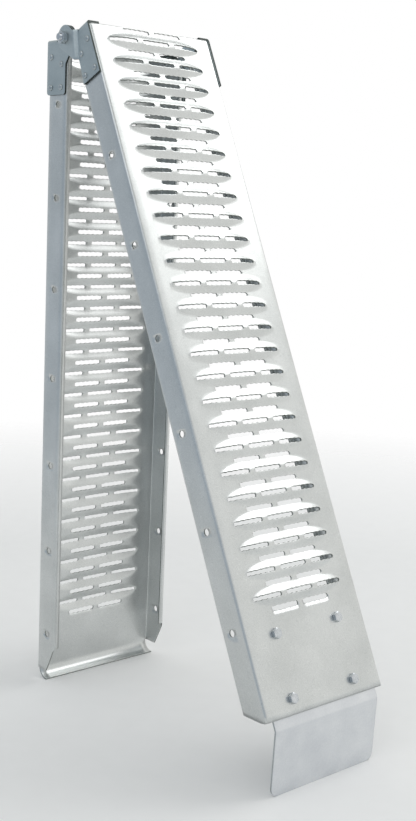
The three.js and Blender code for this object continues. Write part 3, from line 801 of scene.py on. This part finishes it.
def hexagon(flats):
    """Radius of a hexagon over the turn: half its width over the cosine of the way from the
    middle of the nearest flat."""
    angle = np.arange(TURN_STEPS) * 2 * np.pi / TURN_STEPS
    return flats / 2 / np.cos((angle + np.pi / 6) % (np.pi / 3) - np.pi / 6)


def chamfer_drop(flats):
    """How far a 30 degree cone, turned on the end, cuts down each corner."""
    return (hexagon(flats) - flats * 0.475) * np.tan(np.radians(30))


def threaded(size, low, high):
    """Rings of a screw: the radius falls and rises by the thread's depth as the turn goes on,
    six rings to a turn of the helix, and the last ring is chamfered."""
    angle = np.arange(TURN_STEPS) / TURN_STEPS
    heights = np.arange(low, high, size["thread"] / 6)
    wave = np.abs(((heights[:, None] / size["thread"] - angle) % 1) * 2 - 1)
    radii = size["radius"] - 0.54 * size["thread"] * wave
    return [*radii, size["radius"] * 0.8], [*heights, high]


def hex_bolt(size, tip, thread_from):
    """Heights are measured from the underside of the head, along the shank."""
    flats, drop = size["flats"], chamfer_drop(size["flats"])
    radii = [flats * 0.1, flats * 0.475, hexagon(flats), hexagon(flats), size["radius"], size["radius"]]
    heights = [-size["head"], -size["head"], drop - size["head"], 0, 0, thread_from]
    screw_radii, screw_heights = threaded(size, thread_from + 0.0002, tip)
    return turned([*radii, *screw_radii], [*heights, *screw_heights])


def hex_nut(size):
    """Heights run from the seat; both faces are chamfered and the bore has a countersink."""
    flats, drop, high = size["flats"], chamfer_drop(size["flats"]), size["nut"]
    bore = size["radius"] + 0.0001
    corners, flat = hexagon(flats), flats * 0.475
    radii = [bore, bore + 0.0005, flat, corners, corners, flat, bore + 0.0005, bore]
    heights = [0.0005, 0, 0, drop * 0.6, high - drop, high, high, high - 0.0005]
    return turned(radii, heights, closed=True)


def washer(size):
    """A flat ring with its outer edges broken."""
    bore, outer, thick = size["radius"] + 0.0002, size["washer"], size["thick"]
    radii = [bore, outer - 0.0002, outer, outer, outer - 0.0002, bore]
    return turned(radii, [0, 0, 0.0002, thick - 0.0002, thick, thick], closed=True)


BOLT_ZINC = plated_steel("bright_zinc_bolt", "B9BEC2", "D9DCDF", 0.26, patch=160.0)
EAR_OUT = PLATE_OUT + JOGGLE
HEAD_SEAT = PLATE_OUT - PLATE - GAP
WASHER_PLACE = (PLATE_OUT + EAR_OUT - PLATE) / 2 - M10["thick"] / 2
for word, hand in HALVES["lower"][2].items():
    tip = EAR_OUT + GAP + M10["nut"] + M10["tail"]
    parts = {
        "pivot_bolt": (hex_bolt(M10, tip - HEAD_SEAT, EAR_OUT - HEAD_SEAT), HEAD_SEAT),
        "pivot_washer": (washer(M10), WASHER_PLACE),
        "pivot_nut": (hex_nut(M10), EAR_OUT + GAP),
    }
    for name, (shape, seat) in parts.items():
        fastener(
            f"zinc_{name}_{word}", shape, (hand * seat, 0, HINGE_DEPTH), (hand, 0, 0),
            LOWER_LEAN, -1, BOLT_ZINC, "lower_half", f"{name}_{word}",
        )

# ---- Tongue bolts: four M8 hexagon bolts down through the deck and the tongue, each with a
# washer and a nut underneath.
BOLT_ACROSS = 0.059
BOLT_ROWS = (0.902, 0.989)
UNDER_TONGUE = TONGUE_DEPTH + PLATE + GAP
NUT_SEAT = UNDER_TONGUE + M8["thick"] + GAP
spots = [(side * BOLT_ACROSS, along) for along in BOLT_ROWS for side in (-1, 1)]
for number, (across, along) in enumerate(spots, 1):
    parts = {
        "tongue_bolt": (hex_bolt(M8, NUT_SEAT + M8["nut"] + M8["tail"] + GAP, UNDER_TONGUE), -GAP),
        "tongue_washer": (washer(M8), UNDER_TONGUE),
        "tongue_nut": (hex_nut(M8), NUT_SEAT),
    }
    for name, (shape, seat) in parts.items():
        fastener(
            f"zinc_{name}_{number}", shape, (across, along, seat), (0, 0, 1),
            UPPER_LEAN, 1, BOLT_ZINC, "upper_half", f"{name}_{number}",
        )
